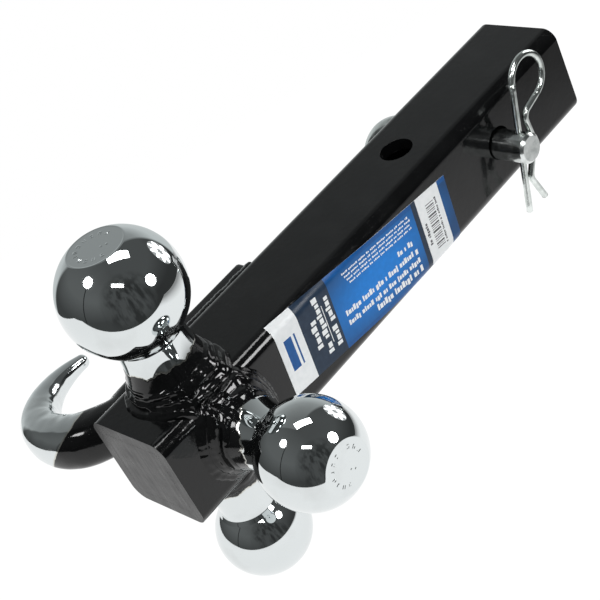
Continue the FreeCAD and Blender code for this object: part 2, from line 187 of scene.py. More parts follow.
def chrome_parts(tree, haze_low=0.025, haze_high=0.075):
    """Colour, roughness and normal of bright chrome plating."""
    cloud = grain(tree, 60.0, 5.0)
    colour = blend(tree, ramp(tree, cloud, 0.5, 0.8), CHROME, CHROME_DULL)
    haze = ramp(tree, grain(tree, 130.0, 4.0), 0.45, 0.8, haze_low, haze_high)
    return colour, haze, relief(tree, grain(tree, 120.0, 2.0), 0.000012)


def chrome_under_paint(name, normal, offset, wobble, haze=(0.025, 0.075)):
    """Chrome that ends under black paint on one side of a plane, with an uneven edge."""
    material, tree, shader = new_material(name)
    place = put(tree, "ShaderNodeTexCoord").outputs["Object"]
    unit = normal.normalized()
    along = put(tree, "ShaderNodeVectorMath", {0: place, 1: unit}, operation="DOT_PRODUCT").outputs["Value"]
    ragged = ramp(tree, grain(tree, 140.0, 4.0), 0.2, 0.8, -wobble * MM, wobble * MM)
    edge = calc(tree, "SUBTRACT", calc(tree, "ADD", along, ragged), offset * MM / normal.length)
    painted = ramp(tree, edge, -0.0001, 0.0001)
    thick = ramp(tree, edge, -0.0006, 0.0006)
    p_colour, p_rough, p_normal = paint_parts(tree, 0.00004, 0.04, 0.12)
    c_colour, c_rough, c_normal = chrome_parts(tree, *haze)
    tinted = ramp(tree, edge, -0.0009, -0.0002, 0.0, 0.45)
    c_colour = blend(tree, tinted, c_colour, HEAT_TINT)
    shader.inputs["IOR"].default_value = PAINT_IOR
    tree.links.new(blend(tree, painted, c_colour, p_colour), shader.inputs["Base Color"])
    tree.links.new(blend(tree, painted, c_rough, p_rough), shader.inputs["Roughness"])
    tree.links.new(calc(tree, "SUBTRACT", 1.0, painted), shader.inputs["Metallic"])
    mixed = put(tree, "ShaderNodeMix", {0: painted, 4: c_normal, 5: p_normal}, data_type="VECTOR").outputs[1]
    tree.links.new(relief(tree, thick, 0.00012, mixed), shader.inputs["Normal"])
    return material


def zinc(name, light, dark, rough_low, rough_high):
    """Zinc plate with stains, uneven roughness and fine bumps."""
    material, tree, shader = new_material(name)
    stain = grain(tree, 160.0, 5.0)
    colour = blend(tree, ramp(tree, stain, 0.42, 0.68), light, dark)
    tree.links.new(colour, shader.inputs["Base Color"])
    rough = ramp(tree, grain(tree, 300.0, 4.0), 0.3, 0.7, rough_low, rough_high)
    tree.links.new(rough, shader.inputs["Roughness"])
    shader.inputs["Metallic"].default_value = 1.0
    tree.links.new(relief(tree, grain(tree, 700.0, 3.0), 0.00003), shader.inputs["Normal"])
    return material


def printed(name, ink, worn, rough, vignette=None):
    """Printed film: one ink, or one that darkens away from the middle, with faint mottling."""
    material, tree, shader = new_material(name)
    colour = blend(tree, ramp(tree, grain(tree, 350.0, 3.0), 0.4, 0.7), ink, worn)
    if vignette:
        place = put(tree, "ShaderNodeTexCoord").outputs["Object"]
        framed = {"Vector": place, "Location": VIGNETTE_SHIFT, "Scale": VIGNETTE_SCALE}
        sized = put(tree, "ShaderNodeMapping", framed).outputs[0]
        far_off = put(tree, "ShaderNodeVectorMath", {0: sized}, operation="LENGTH").outputs["Value"]
        colour = blend(tree, ramp(tree, far_off, 0.25, 1.05), colour, vignette)
    tree.links.new(colour, shader.inputs["Base Color"])
    gloss = ramp(tree, grain(tree, 120.0, 2.0), 0.3, 0.7, rough, rough + 0.1)
    tree.links.new(gloss, shader.inputs["Roughness"])
    tree.links.new(relief(tree, grain(tree, 90.0, 2.0), 0.00008), shader.inputs["Normal"])
    shader.inputs["Specular IOR Level"].default_value = 0.3
    return material


shank_paint = gloss_paint("shank_paint")
ground_paint = gloss_paint("ground_paint", 0.00004, 0.24, 0.36, 1.33, (6.0, 1.0, 0.25))
weld_paint = gloss_paint("weld_paint", 0.00005, 0.03, 0.08)
pin_zinc = zinc("pin_zinc", rgb(0.74, 0.77, 0.76), rgb(0.50, 0.53, 0.52), 0.12, 0.26)
clip_zinc = zinc("clip_zinc", rgb(0.80, 0.84, 0.82), rgb(0.55, 0.59, 0.57), 0.13, 0.24)
hook_finish = chrome_under_paint("hook_finish", Vector((1.0, 0.239, -0.843)), -118.4, 0.5, (0.07, 0.16))
ball_finish = {name: chrome_under_paint(name + "_finish", *edge) for name, edge in PAINT_EDGE.items()}
white_ink = printed("white_ink", rgb(0.90, 0.92, 0.93), rgb(0.84, 0.87, 0.88), 0.30)
navy_ink = printed("navy_ink", rgb(0.010, 0.026, 0.055), rgb(0.016, 0.036, 0.070), 0.30)
blue_ink = printed("blue_ink", rgb(0.0005, 0.20, 0.66), rgb(0.001, 0.22, 0.72), 0.30, rgb(0.006, 0.062, 0.19))
deep_blue_ink = printed("deep_blue_ink", rgb(0.003, 0.085, 0.30), rgb(0.005, 0.10, 0.34), 0.30)
grey_ink = printed("grey_ink", rgb(0.07, 0.07, 0.08), rgb(0.12, 0.12, 0.13), 0.3)


# ---------------------------------------------------------------- mesh helpers
def make_piece(name, points, faces, materials, indices=None):
    """Mesh object from points in millimetres; its faces are turned to point outwards."""
    mesh = bpy.data.meshes.new(name)
    mesh.from_pydata([Vector(p) * MM for p in points], [], faces)
    for material in materials:
        mesh.materials.append(material)
    if indices:
        mesh.polygons.foreach_set("material_index", indices)
    shell = bmesh.new()
    shell.from_mesh(mesh)
    bmesh.ops.recalc_face_normals(shell, faces=shell.faces)
    shell.to_mesh(mesh)
    shell.free()
    mesh.polygons.foreach_set("use_smooth", [True] * len(mesh.polygons))
    piece = bpy.data.objects.new(name, mesh)
    bpy.context.scene.collection.objects.link(piece)
    return piece


def rings_to_faces(rings, count, closed):
    """Quads between successive rings of count points; closed joins the last ring to the first."""
    faces = []
    for i in range(rings if closed else rings - 1):
        here, there = i * count, ((i + 1) % rings) * count
        for j in range(count):
            k = (j + 1) % count
            faces.append((here + j, here + k, there + k, there + j))
    return faces


def on_side(side, shift):
    """Map (across, along, out) about a ball's axis to the row frame."""
    maps = {
        "up": lambda a, b, h: Vector((a, b + shift, h)),
        "right": lambda a, b, h: Vector((h, b + shift, -a)),
        "down": lambda a, b, h: Vector((a, -b + shift, -h)),
    }
    return maps[side]


def arc_points(centre, radius, start, end, steps):
    """Points (radius from axis, height) along an arc, angles in radians from the axis."""
    points = []
    for i in range(steps + 1):
        angle = start + (end - start) * i / steps
        points.append((centre[0] + radius * math.sin(angle), centre[1] + radius * math.cos(angle)))
    return points


def tube(name, path, radius, normal, material, around=20, end_round=0.5):
    """Wire along a flat path; normal is the direction square to the path's plane."""
    stations = []
    for index, point in enumerate(path):
        ahead = path[min(index + 1, len(path) - 1)] - path[max(index - 1, 0)]
        ahead.normalize()
        stations.append((point, ahead, radius))
    first, last = stations[0], stations[-1]
    stations.insert(0, (first[0] - first[1] * end_round, first[1], radius - end_round))
    stations.append((last[0] + last[1] * end_round, last[1], radius - end_round))
    points = []
    for point, ahead, size in stations:
        side = ahead.cross(normal)
        for j in range(around):
            angle = 2 * math.pi * j / around
            points.append(point + (side * math.cos(angle) + normal * math.sin(angle)) * size)
    faces = rings_to_faces(len(stations), around, False)
    faces.append(tuple(range(around)))
    faces.append(tuple(range(len(points) - around, len(points))))
    return make_piece(name, points, faces, [material])


# ---------------------------------------------------------------- shank
def softened(node, name, width, material, front_material):
    """Copy of a CAD node with its sharp edges rounded by a thin coat."""
    mesh = frame["nodes"][node].data.copy()
    mesh.name = name
    shell = bmesh.new()
    shell.from_mesh(mesh)
    bmesh.ops.remove_doubles(shell, verts=shell.verts, dist=0.000001)
    bmesh.ops.dissolve_limit(shell, angle_limit=math.radians(0.5), verts=shell.verts, edges=shell.edges)
    shell.to_mesh(mesh)
    shell.free()
    mesh.materials.clear()
    mesh.materials.append(material)
    mesh.materials.append(front_material)
    for face in mesh.polygons:
        face.material_index = 1 if face.normal.y < FRONT_FACING else 0
    piece = bpy.data.objects.new(name, mesh)
    bpy.context.scene.collection.objects.link(piece)
    edge = piece.modifiers.new("edge", "BEVEL")
    edge.width = width
    edge.segments = 3
    edge.limit_method = "ANGLE"
    edge.angle_limit = math.radians(40)
    even = piece.modifiers.new("even", "WEIGHTED_NORMAL")
    even.keep_sharp = True
    mesh.polygons.foreach_set("use_smooth", [True] * len(mesh.polygons))
    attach(piece, "mount")
    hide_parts(node)
    return piece


shank = softened("shank_tube", "shank", EDGE_ROUND, shank_paint, ground_paint)


# ---------------------------------------------------------------- balls
def ball_profile(spec, centre_h, ball_r):
    """Half outline of a ball on its neck, from the foot's centre to the flat's rim."""
    join_h = centre_h - math.sqrt(ball_r ** 2 - spec["waist"] ** 2)
    foot_h = HALF + WELD_HEIGHT - 1.5
    waist_h = join_h - 2.2
    profile = [(spec["foot"], HALF - BARE_DEPTH)]
    for i in range(NECK_STEPS + 1):
        part = i / NECK_STEPS
        ease = (1 - part) ** 2.2
        radius = spec["waist"] + (spec["foot"] - spec["waist"]) * ease
        profile.append((radius, foot_h + (waist_h - foot_h) * part))
    crease = 0.9
    for i in range(1, 6):
        part = i / 6
        radius = spec["waist"] + crease * part ** 3
        profile.append((radius, waist_h + (join_h - waist_h) * (0.4 + 0.6 * part)))
    start = math.pi - math.asin((spec["waist"] + 1.3) / ball_r)
    rim = math.asin((spec["flat"] + 0.15) / ball_r)
    profile += arc_points((0.0, centre_h), ball_r, start, rim, BALL_STEPS)
    flat_h = centre_h + math.sqrt(ball_r ** 2 - spec["flat"] ** 2)
    return profile, flat_h


def stamped(radius, angle, marks):
    """Height of the stamped marks on a ball's flat, from 0 to 1."""
    for mark_r, mark_deg, half_r, half_deg in marks:
        turn = (angle - mark_deg + 180.0) % 360.0 - 180.0
        if abs(radius - mark_r) < half_r and abs(turn) < half_deg:
            return 1.0
    return 0.0


def size_marks(flat_r):
    """A ring of short strokes and two short arcs: generic marks, no letters."""
    marks = []
    ring = flat_r * 0.68
    for group in range(11):
        middle = 100.0 + group * 24.0
        marks.append((ring, middle - 3.8, 1.05, 1.1))
        if group % 3:
            marks.append((ring + 0.75, middle, 0.3, 3.6))
        if group % 2:
            marks.append((ring, middle + 3.8, 1.05, 1.1))
        else:
            marks.append((ring - 0.75, middle + 1.0, 0.3, 3.2))
    marks.append((ring * 0.35, 20.0, 0.5, 9.0))
    marks.append((ring * 0.62, 35.0, 0.5, 6.0))
    return marks


def build_ball(name, spec):
    """A ball turned with its neck, and the marks stamped into its flat top."""
    low, high = (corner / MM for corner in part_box(name))
    centre = mounts[spec["mount"]]
    centre_h = max(abs(centre.x), abs(centre.z))
    ball_r = (high.y - low.y) / 2
    profile, flat_h = ball_profile(spec, centre_h, ball_r)
    marks = size_marks(spec["flat"])
    rim_steps = [(spec["flat"] - 0.08, flat_h - STAMP * 0.25), (spec["flat"] - 0.3, flat_h - STAMP * 0.8)]
    place = on_side(spec["side"], centre.y)
    flat_steps = int(spec["flat"] / 0.25)
    outline = profile + rim_steps
    for i in range(1, flat_steps):
        outline.append(((spec["flat"] - 0.4) * (1 - i / flat_steps), None))
    points = []
    for radius, height in outline:
        for j in range(BALL_SEGMENTS):
            angle = 2 * math.pi * j / BALL_SEGMENTS
            h = height
            if h is None:
                h = flat_h - STAMP * (1 - stamped(radius, math.degrees(angle), marks))
            points.append(place(radius * math.cos(angle), radius * math.sin(angle), h))
    faces = rings_to_faces(len(outline), BALL_SEGMENTS, False)
    bottom, top = len(points), len(points) + 1
    points.append(place(0, 0, HALF - BARE_DEPTH))
    points.append(place(0, 0, flat_h - STAMP))
    last = (len(outline) - 1) * BALL_SEGMENTS
    for j in range(BALL_SEGMENTS):
        k = (j + 1) % BALL_SEGMENTS
        faces.append((bottom, k, j))
        faces.append((top, last + j, last + k))
    piece = make_piece(name + "_forging", points, faces, [ball_finish[name]])
    piece.data.set_sharp_from_angle(angle=math.radians(50))
    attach(piece, "mount")
    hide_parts(name)


for ball_name, ball_spec in BALLS.items():
    build_ball(ball_name, ball_spec)


# ---------------------------------------------------------------- welds
def lump(seed, x, y, size):
    return noise.noise(Vector((x / size, y / size, seed)))


def block_height(across):
    """Height of the shank's outside above its axis, at a distance from the middle of a side."""
    beyond = abs(across) - FLAT
    if beyond <= 0:
        return HALF
    return FLAT + math.sqrt(max(CORNER_R ** 2 - min(beyond, CORNER_R) ** 2, 0.0))


def ring_weld(ball, spec, index):
    """One pass of a ring weld: a glossy uneven band of the fillet between shank and neck."""
    pass_name = WELD_PASSES[index]
    centre_y = mounts[spec["mount"]].y
    place = on_side(spec["side"], centre_y)
    seed = 3.7 * len(ball)
    ripples = 46 - 4 * index
    points = []
    for i in range(RING_STEPS):
        angle = 2 * math.pi * i / RING_STEPS
        c, s = math.cos(angle), math.sin(angle)
        corner = max(0.0, c * spec["corner"]) ** 2
        rough = 0.45 + 0.55 * corner if spec["side"] == "right" else 1.0
        toe_r = WELD_TOE + 3.6 * corner + 1.1 * lump(seed, c * 20, s * 20, 8.0)
        toe_r += 0.5 * lump(seed + 1, c * 20, s * 20, 2.5)
        toe_a = max(-HALF + 0.15, min(HALF - 0.15, toe_r * c))
        toe = Vector((toe_a, toe_r * s, block_height(toe_a) - 0.4))
        head_r = spec["foot"] - 0.6
        head_h = HALF + WELD_HEIGHT + 0.8 * lump(seed + 5, c * 20, s * 20, 9.0)
        head = Vector((head_r * c, head_r * s, head_h))
        bend = Vector(((head_r + 1.6) * c, (head_r + 1.6) * s, toe.z + 4.0))
        over = Vector((toe.x, (head_r + 3.0) * s, toe.z + 7.5))
        bend = bend.lerp(over, min(1.0, 1.5 * corner))
        out = Vector((c * 0.75, s * 0.75, 0.66))
        for j in range(WELD_STEPS):
            part = 1.06 * j / (WELD_STEPS - 1) - 0.03
            whole = (index + part) / 3
            base = toe.lerp(bend, whole).lerp(bend.lerp(head, whole), whole)
            crown = math.sin(math.pi * min(max(part, 0.0), 1.0))
            inside = math.sin(math.pi * min(max(whole, 0.0), 1.0)) ** 0.5
            uneven = noise.noise(Vector((c * 1.6, s * 1.6, seed + index)))
            streak = noise.noise(Vector((c * 1.5, s * 1.5, whole * 5.5 + seed)))
            lumpy = noise.noise(Vector((c * 5.0, s * 5.0, whole * 3.0 + seed + 20)))
            wave = ripples * angle + 2.4 * (2 * part - 1) ** 2 + 5.0 * uneven
            swell = crown * (0.75 + 0.7 * uneven) + inside * (1.3 * streak + 0.5 * lumpy)
            swell = swell * rough + 0.025 * crown * math.sin(wave)
            points.append(place(*(base + out * swell)))
        core_r = spec["foot"] - 1.5
        points.append(place(core_r * c, core_r * s, HALF - BARE_DEPTH + 3.0 * index))
    faces = rings_to_faces(RING_STEPS, WELD_STEPS + 1, True)
    piece = make_piece(ball + "_bead_" + pass_name, points, faces, [weld_paint])
    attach(piece, "mount")
    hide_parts(ball + "_weld_" + pass_name)


for ball_name, ball_spec in BALLS.items():
    for pass_index in range(len(WELD_PASSES)):
        ring_weld(ball_name, ball_spec, pass_index)


# ---------------------------------------------------------------- tow hook
HOOK_BAR_THICK = 12.7
HOOK_BAR_HALF = 19.5
HOOK_BAR_REAR = BALL_Y + 79.0
HOOK_BAR_BEND = BALL_Y + 8.0
HOOK_FLAT = 56.0             # length of the flat bar
HOOK_BAR_STATIONS = (0.0, 0.15, 0.5, 1.2, 2.2, 5.0, 20.0, 35.0, 48.0, HOOK_FLAT)
HOOK_CENTRE = Vector((-65.9, BALL_Y - 16.2, 0.0))
HOOK_REACH = (25.8, -28.0, 42.4)        # distance from that centre, root to tip
HOOK_RADIUS = (11.1, 9.8, -17.3)        # radius of the round bar, root to tip
HOOK_START, HOOK_SWEEP = 100.0, 225.0   # angle of the curl's root and its sweep to the tip
HOOK_SEGMENTS = 64
HOOK_BEND_STEPS = 14
HOOK_CURL_STEPS = 90
CURL_SQUARE = 0.25           # 0 is a round bar, 1 a flat one with small corners


def hook_curl(t):
    """Centre and radius of the hook's round bar, from its root at 0 to its tip at 1."""
    angle = math.radians(HOOK_START - HOOK_SWEEP * t)
    reach = HOOK_REACH[0] + HOOK_REACH[1] * t + HOOK_REACH[2] * t * t
    radius = HOOK_RADIUS[0] + HOOK_RADIUS[1] * t + HOOK_RADIUS[2] * t * t
    return HOOK_CENTRE + Vector((math.sin(angle), -math.cos(angle), 0)) * reach, radius


def hook_stations():
    """Centre, direction, half width, half height and squareness of each section."""
    stations = []
    bar_x = -HALF - HOOK_BAR_THICK / 2
    half_thick = HOOK_BAR_THICK / 2
    for y in HOOK_BAR_STATIONS:
        shrink = 1.0 - 0.10 * max(0.0, 1 - y / 2.2) ** 2
        middle = Vector((bar_x, HOOK_BAR_REAR - y, 0))
        stations.append((middle, Vector((0, -1, 0)), half_thick * shrink, HOOK_BAR_HALF * shrink, 1.0))
    root, root_r = hook_curl(0.0)
    bend_start = HOOK_BAR_REAR - HOOK_FLAT
    for i in range(1, HOOK_BEND_STEPS):
        part = i / HOOK_BEND_STEPS
        ease = part * part * (3 - 2 * part)
        y = bend_start + (root.y - bend_start) * part
        middle = Vector((bar_x + (root.x - bar_x) * ease, y, 0))
        wide = half_thick + (root_r - half_thick) * ease
        high = HOOK_BAR_HALF + (root_r - HOOK_BAR_HALF) * ease
        stations.append((middle, Vector((0, -1, 0)), wide, high, 1.0 - (1.0 - CURL_SQUARE) * ease))
    for i in range(HOOK_CURL_STEPS + 1):
        t = i / HOOK_CURL_STEPS
        middle, radius = hook_curl(t)
        ahead = (hook_curl(t + 0.001)[0] - hook_curl(t - 0.001)[0]).normalized()
        if i < 6:
            ahead = Vector((0, -1, 0)).lerp(ahead, i / 6).normalized()
        stations.append((middle, ahead, radius, radius, CURL_SQUARE))
    tip, ahead, radius = stations[-1][0], stations[-1][1], stations[-1][2]
    for degrees in range(8, 88, 8):
        phi = math.radians(degrees)
        reach = radius * math.sin(phi)
        narrow = radius * math.cos(phi)
        stations.append((tip + ahead * reach, ahead, narrow, narrow, CURL_SQUARE))
    return stations


def build_hook():
    """Forged hook: flat bar, bend and curled round bar, with shallow forging dimples."""
    points = []
    stations = hook_stations()
    for middle, ahead, wide, high, square in stations:
        side = ahead.cross(Vector((0, 0, 1)))
        power = 1.0 - 0.72 * square
        for j in range(HOOK_SEGMENTS):
            angle = 2 * math.pi * (j + 0.5) / HOOK_SEGMENTS
            c, s = math.cos(angle), math.sin(angle)
            u = math.copysign(abs(c) ** power, c) * wide
            v = math.copysign(abs(s) ** power, s) * high
            spot = middle + side * u + Vector((0, 0, v))
            inner = max(0.0, (spot - middle).normalized().dot((HOOK_CENTRE - middle).normalized()))
            broad = max(0.0, noise.noise(spot / 5.5) + 0.15)
            dimple = broad + 0.4 * inner * max(0.0, noise.noise(spot / 2.2))
            keep = 1.0 - (0.02 + 0.08 * inner) * dimple * (1 - square)
            points.append(middle + side * u * keep + Vector((0, 0, v * keep)))
    faces = rings_to_faces(len(stations), HOOK_SEGMENTS, False)
    faces.append(tuple(range(HOOK_SEGMENTS)))
    faces.append(tuple(range(len(points) - HOOK_SEGMENTS, len(points))))
    piece = make_piece("tow_hook_forging", points, faces, [hook_finish])
    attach(piece, "mount")
    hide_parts("tow_hook")


build_hook()


def straight_weld(name, node, start, end, corner, out, size, seed):
    """Rippled bead along an inside corner; corner is its hidden side, out its crown's direction."""
    along = (end - start).normalized()
    length = (end - start).length
    count = int(length / 0.2)
    lap = 12
    points = []
    spread = along.cross(out)
    for i in range(count + 1):
        travel = length * i / count
        taper = min(1.0, 0.25 + math.sqrt(min(travel, length - travel) / 3.0))
        here = start + along * travel
        for j in range(lap + 1):
            part = j / lap
            turn = math.pi * (part - 0.5)
            crown = math.cos(turn)
            wave = travel / 2.8 + 0.7 * (2 * part - 1) ** 2
            ripple = 0.22 * (abs(math.sin(math.pi * wave)) - 0.6) * crown
            reach = size * taper * (1 + 0.16 * lump(seed, travel, part * 4, 5.0))
            points.append(here + spread * math.sin(turn) * reach + out * (crown * reach * 0.62 + ripple))
        points.append(here + corner * size * 0.5 * taper)
    ring = lap + 2
    faces = rings_to_faces(count + 1, ring, False)
    faces.append(tuple(range(ring)))
    faces.append(tuple(range(len(points) - ring, len(points))))
    piece = make_piece(name, points, faces, [weld_paint])
    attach(piece, "mount")
    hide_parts(node)


HOOK_BEAD = 4.6              # size of the beads along the bar
REAR_BEAD = 4.8              # size of the bead across its rear end
REAR_BEAD_HALF = 15.5
diagonal_up = Vector((-1, 0, 1)).normalized()
diagonal_down = Vector((-1, 0, -1)).normalized()
diagonal_rear = Vector((-1, 1, 0)).normalized()
seam_x = -HALF - 0.6
seam_start = HOOK_BAR_BEND + 16.0
seam_z = HOOK_BAR_HALF + 0.3
rear_y = HOOK_BAR_REAR + 0.3
straight_weld("hook_bead_top", "hook_weld_top", Vector((seam_x, seam_start, seam_z)),
              Vector((seam_x, HOOK_BAR_REAR, seam_z)), -diagonal_up, diagonal_up, HOOK_BEAD, 2.0)
straight_weld("hook_bead_bottom", "hook_weld_bottom", Vector((seam_x, seam_start, -seam_z)),
              Vector((seam_x, HOOK_BAR_REAR, -seam_z)), -diagonal_down, diagonal_down, HOOK_BEAD, 6.0)
straight_weld("hook_bead_rear", "hook_weld_rear", Vector((seam_x, rear_y, -REAR_BEAD_HALF)),
              Vector((seam_x, rear_y, REAR_BEAD_HALF)), -diagonal_rear, diagonal_rear, REAR_BEAD, 9.0)


# ---------------------------------------------------------------- spring clip
WIRE_R = 1.7
CLIP_X = mounts["receiver_shank"].x + 38.5
CLIP_TILT = math.radians(16.0)
PIN_AXIS_Z = -0.7425         # the loose pin lies low in its hole
LOOP_R = 12.0
LOOP_UP = 32.7               # loop's centre above the pin's axis
LEG_TIP = -36.0
LEG_STEPS = 20
LOOP_STEPS = 72
PINCH, LOW_PINCH, SPRING_TIP = (15.3, 5.4), (-18.5, 4.5), (-32.5, 13.5)    # (up, out)
PINCH_BEND_R = 5.0
PIN_R = 15.875 / 2
GRIP_R = PIN_R + WIRE_R + 0.4


def clip_point(up, out):
    """Point in the clip's plane: up along the straight leg, out towards the spring leg."""
    y = up * math.sin(CLIP_TILT) + out * math.cos(CLIP_TILT)
    z = up * math.cos(CLIP_TILT) - out * math.sin(CLIP_TILT)
    return Vector((CLIP_X, y, PIN_AXIS_Z + z))


def touch(centre, radius, point, side):
    """Where a line from point touches a circle in the clip's plane."""
    du, dv = point[0] - centre[0], point[1] - centre[1]
    angle = math.atan2(dv, du) + side * math.acos(radius / math.hypot(du, dv))
    return centre[0] + radius * math.cos(angle), centre[1] + radius * math.sin(angle)


def rounded_route(corners, radii, step=0.7):
    """Points of a wire that runs between corners with a round bend at each inner one."""
    route = []
    position = Vector(corners[0])
    for corner, after, bend_r in zip(corners[1:], corners[2:], radii):
        corner, after = Vector(corner), Vector(after)
        heading = (corner - position).normalized()
        leaving = (after - corner).normalized()
        turn = heading.angle(leaving)
        setback = bend_r * math.tan(turn / 2)
        bend_start = corner - heading * setback
        runs = max(1, int((bend_start - position).length / (4 * step)))
        route += [position.lerp(bend_start, i / runs) for i in range(runs)]
        side = (leaving - heading * leaving.dot(heading)).normalized()
        centre = bend_start + side * bend_r
        bends = max(3, int(bend_r * turn / step))
        for i in range(bends):
            angle = turn * i / bends
            route.append(centre - side * bend_r * math.cos(angle) + heading * bend_r * math.sin(angle))
        position = corner + leaving * setback
    last = Vector(corners[-1])
    runs = max(1, int((last - position).length / (4 * step)))
    route += [position.lerp(last, i / runs) for i in range(runs + 1)]
    return route


def lines_cross(a, b, c, d):
    """Where the line through a and b crosses the line through c and d."""
    r = (b[0] - a[0], b[1] - a[1])
    s = (d[0] - c[0], d[1] - c[1])
    t = ((c[0] - a[0]) * s[1] - (c[1] - a[1]) * s[0]) / (r[0] * s[1] - r[1] * s[0])
    return a[0] + t * r[0], a[1] + t * r[1]


def build_clip():
    """Spring clip: a straight leg, a wavy spring leg, and the loop that joins them."""
    sideways = Vector((1, 0, 0))
    loop_centre = (LOOP_UP, LOOP_R)
    leave = touch(loop_centre, LOOP_R, PINCH, -1)
    grip_above = touch((0, 0), GRIP_R, PINCH, 1)
    grip_below = touch((0, 0), GRIP_R, LOW_PINCH, -1)
    over_pin = lines_cross(PINCH, grip_above, LOW_PINCH, grip_below)

    leg_start = LEG_TIP + 0.5
    leg_length = LOOP_UP - LEG_TIP - 0.5
    leg = [clip_point(leg_start + leg_length * i / LEG_STEPS, 0) for i in range(LEG_STEPS + 1)]
    straight = tube("clip_straight_wire", leg, WIRE_R, sideways, clip_zinc)
    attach(straight, "clip")
    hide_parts("clip_straight_leg")

    corners = [leave, PINCH, over_pin, LOW_PINCH, SPRING_TIP]
    route = rounded_route(corners, [PINCH_BEND_R, GRIP_R, PINCH_BEND_R])
    wave = [clip_point(*p) for p in route]
    spring = tube("clip_spring_wire", wave, WIRE_R, sideways, clip_zinc)
    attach(spring, "clip_leg")
    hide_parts("clip_spring_leg")

    end_angle = math.atan2(leave[1] - LOOP_R, leave[0] - LOOP_UP)
    arc = []
    for i in range(LOOP_STEPS + 1):
        angle = -math.pi / 2 + (end_angle + math.pi / 2) * i / LOOP_STEPS
        arc.append(clip_point(LOOP_UP + LOOP_R * math.cos(angle), LOOP_R + LOOP_R * math.sin(angle)))
    loop = tube("clip_loop_wire", arc, WIRE_R, sideways, clip_zinc, end_round=0.0)
    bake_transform(loop)


build_clip()


# ---------------------------------------------------------------- labels
LABEL_SLOPE = math.radians(-6.4)        # the label runs downhill
LABEL_START = BALL_Y + 38.6
LABEL_LENGTH = 128.1
LABEL_HALF = 20.1            # half its height
LABEL_MID = 7.4              # middle height where it starts
CODE_START = 104.8           # the barcode film's ends, along the label
CODE_END = 122.0
CODE_LOW = -18.1             # and its lower edge
FILM = 0.15                  # thickness of each film
LONGEST_ALONG = 4.0          # longest face of a film along the label
LONGEST_UP = 1.2             # and up it, so that it rolls smoothly over the corner
NAVY_START, NAVY_END = 15.5, 37.5


def on_label(along, up, depth):
    """Point of the label rolled onto the shank's right side, depth above its surface."""
    y = LABEL_START + along * math.cos(LABEL_SLOPE) - up * math.sin(LABEL_SLOPE)
    height = LABEL_MID + along * math.sin(LABEL_SLOPE) + up * math.cos(LABEL_SLOPE)
    if abs(height) <= FLAT:
        return Vector((HALF + depth, y, height))
    turned = (abs(height) - FLAT) / CORNER_R
    reach = CORNER_R + depth
    z = math.copysign(FLAT + reach * math.sin(turned), height)
    return Vector((FLAT + reach * math.cos(turned), y, z))


def cuts(low, high, marks, longest):
    """Sorted cut lines from low to high that include every mark."""
    stops = sorted({round(m, 3) for m in marks if low < m < high} | {low, high})
    lines = [low]
    for a, b in zip(stops, stops[1:]):
        pieces = max(1, math.ceil((b - a) / longest))
        lines += [a + (b - a) * i / pieces for i in range(1, pieces + 1)]
    return lines


def film(name, node, area, zones, bars, materials, foot, top):
    """Printed film: a closed thin shell whose outer face is divided along every printed edge.
    zones and bars are (start, end, low, high, material index); later ones lie on top."""
    start, end, low, high = area
    shapes = zones + bars
    us = cuts(start, end, [s[0] for s in shapes] + [s[1] for s in shapes], LONGEST_ALONG)
    vs = cuts(low, high, [s[2] for s in shapes] + [s[3] for s in shapes], LONGEST_UP)
    points = [on_label(u, v, depth) for depth in (top, foot) for u in us for v in vs]
    rows, columns = len(us), len(vs)
    faces, indices = [], []
    for i in range(rows - 1):
        for j in range(columns - 1):
            a = i * columns + j
            faces.append((a, a + columns, a + columns + 1, a + 1))
            u, v = (us[i] + us[i + 1]) / 2, (vs[j] + vs[j + 1]) / 2
            ink = 0
            for s in shapes:
                if s[0] < u < s[1] and s[2] < v < s[3]:
                    ink = s[4]
            indices.append(ink)
            under = a + rows * columns
            faces.append((under, under + 1, under + columns + 1, under + columns))
            indices.append(ink)
    rim = [(i, 0) for i in range(rows)] + [(rows - 1, j) for j in range(1, columns)]
    rim += [(i, columns - 1) for i in range(rows - 2, -1, -1)] + [(0, j) for j in range(columns - 2, 0, -1)]
    for (i0, j0), (i1, j1) in zip(rim, rim[1:] + rim[:1]):
        a, b = i0 * columns + j0, i1 * columns + j1
        faces.append((a, b, b + rows * columns, a + rows * columns))
        indices.append(0)
    piece = make_piece(name, points, faces, materials, indices)
    piece.data.set_sharp_from_angle(angle=math.radians(40))
    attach(piece, "mount")
    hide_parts(node)


def words_along(start, end, low, high, words, wide, ink):
    """Blocks in a row along the label, grouped like words; words gives the blocks in each group."""
    bars = []
    tall = high - low
    here = start
    count = 0
    for blocks in itertools.cycle(words):
        for _ in range(blocks):
            if here + wide > end:
                return bars
            count += 1
            reach = high if count % 3 == 1 else high - 0.27 * tall
            foot = low - 0.2 * tall if count % 7 == 5 else low
            width = wide * (1.0, 0.75, 1.1, 0.6)[count % 4]
            bars.append((here, here + width, foot, reach, ink))
            here += width + 0.26 * wide
        here += 0.8 * wide


def words_up(start, end, low, high, words, wide, ink):
    """The same, with the row running up the label and the blocks' heads towards its start."""
    rows = words_along(low, high, -end, -start, words, wide, ink)
    return [(-b[3], -b[2], b[0], b[1], b[4]) for b in rows]


